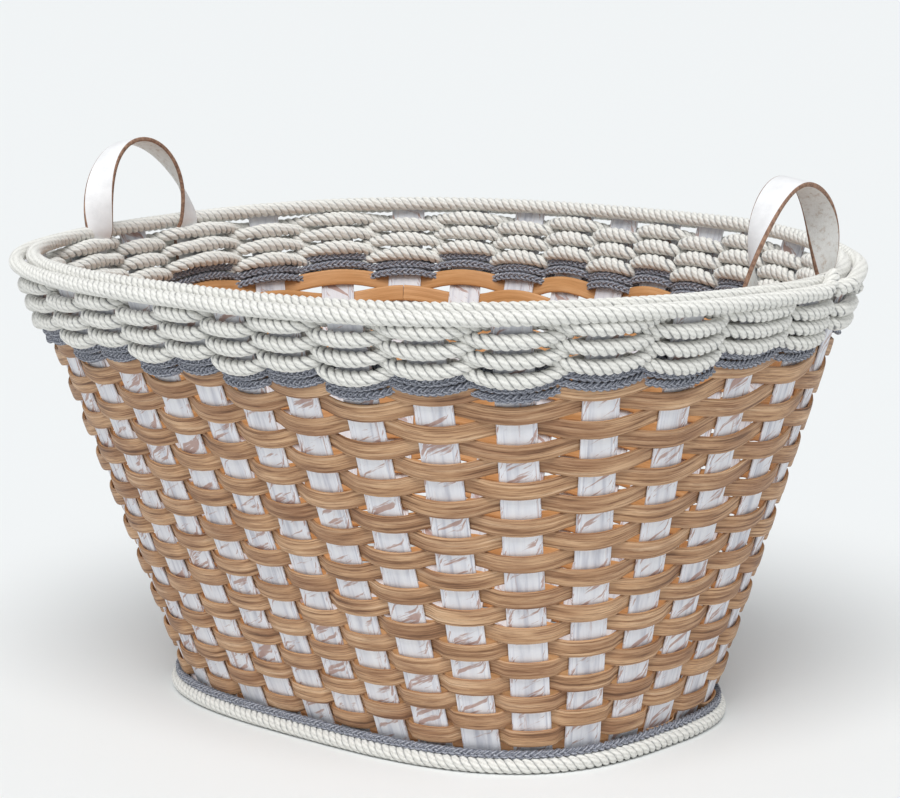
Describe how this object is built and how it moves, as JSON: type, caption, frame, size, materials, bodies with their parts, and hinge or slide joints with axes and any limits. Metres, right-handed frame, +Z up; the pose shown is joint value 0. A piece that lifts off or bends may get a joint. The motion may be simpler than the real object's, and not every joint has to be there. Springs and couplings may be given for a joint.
{
  "type": "laundry basket",
  "caption": "Oval flared laundry basket of flat reed woven over whitewashed stakes, with cotton rope rows, grey cord bands, a rope rim and leather loop handles.",
  "frame": {"origin": "middle of the underside of the base board, on the floor", "axes": "+Z up, +X along the length of the oval towards the handle on the right of the picture, +Y away from the viewer"},
  "size_m": [0.5867, 0.4946, 0.377],
  "materials": {
    "board_wood": "sanded bare wood",
    "whitewashed_wood": "thin white wash with the grain showing",
    "reed": "stained reed, matt",
    "grey_cord": "braided cotton cord",
    "cotton_rope": "laid cotton rope, undyed",
    "leather": "white coat outside, raw flesh side and edges"
  },
  "bodies": {
    "basket": {"base_board": "board_wood", "base_rope": "cotton_rope", "base_braid": "grey_cord", "stake_01": "whitewashed_wood", "stake_02": "whitewashed_wood", "stake_03": "whitewashed_wood", "stake_04": "whitewashed_wood", "stake_05": "whitewashed_wood", "stake_06": "whitewashed_wood", "stake_07": "whitewashed_wood", "stake_08": "whitewashed_wood", "stake_09": "whitewashed_wood", "stake_10": "whitewashed_wood", "stake_11": "whitewashed_wood", "stake_12": "whitewashed_wood", "stake_13": "whitewashed_wood", "stake_14": "whitewashed_wood", "stake_15": "whitewashed_wood", "stake_16": "whitewashed_wood", "stake_17": "whitewashed_wood", "stake_18": "whitewashed_wood", "stake_19": "whitewashed_wood", "stake_20": "whitewashed_wood", "stake_21": "whitewashed_wood", "stake_22": "whitewashed_wood", "stake_23": "whitewashed_wood", "stake_24": "whitewashed_wood", "stake_25": "whitewashed_wood", "stake_26": "whitewashed_wood", "stake_27": "whitewashed_wood", "stake_28": "whitewashed_wood", "stake_29": "whitewashed_wood", "stake_30": "whitewashed_wood", "stake_31": "whitewashed_wood", "stake_32": "whitewashed_wood", "stake_33": "whitewashed_wood", "reed_01": "reed", "reed_02": "reed", "reed_03": "reed", "reed_04": "reed", "reed_05": "reed", "reed_06": "reed", "reed_07": "reed", "reed_08": "reed", "reed_09": "reed", "reed_10": "reed", "reed_11": "reed", "reed_12": "reed", "grey_cord_rows": "grey_cord", "rope_rows_lower": "cotton_rope", "rope_rows_upper": "cotton_rope", "rim_rope_outer": "cotton_rope", "rim_rope_inner": "cotton_rope", "handle_right_tail_a": "leather", "handle_right_tail_b": "leather", "handle_left_tail_a": "leather", "handle_left_tail_b": "leather"},
    "right_handle": {"handle_right_loop": "leather"},
    "left_handle": {"handle_left_loop": "leather"}
  },
  "joints": [
    {"name": "right_handle_bend", "type": "hinge", "parent": "basket", "child": "right_handle", "pos_m": [0.26999, 0.0472, 0.32955], "axis": [-0.1023, 0.9948, 0.0013], "range_deg": [-45, 30], "stiffness_Nm_per_rad": 0.08},
    {"name": "left_handle_bend", "type": "hinge", "parent": "basket", "child": "left_handle", "pos_m": [-0.27208, -0.02698, 0.32951], "axis": [0.0548, -0.9985, 0.0006], "range_deg": [-45, 30], "stiffness_Nm_per_rad": 0.08}
  ]
}
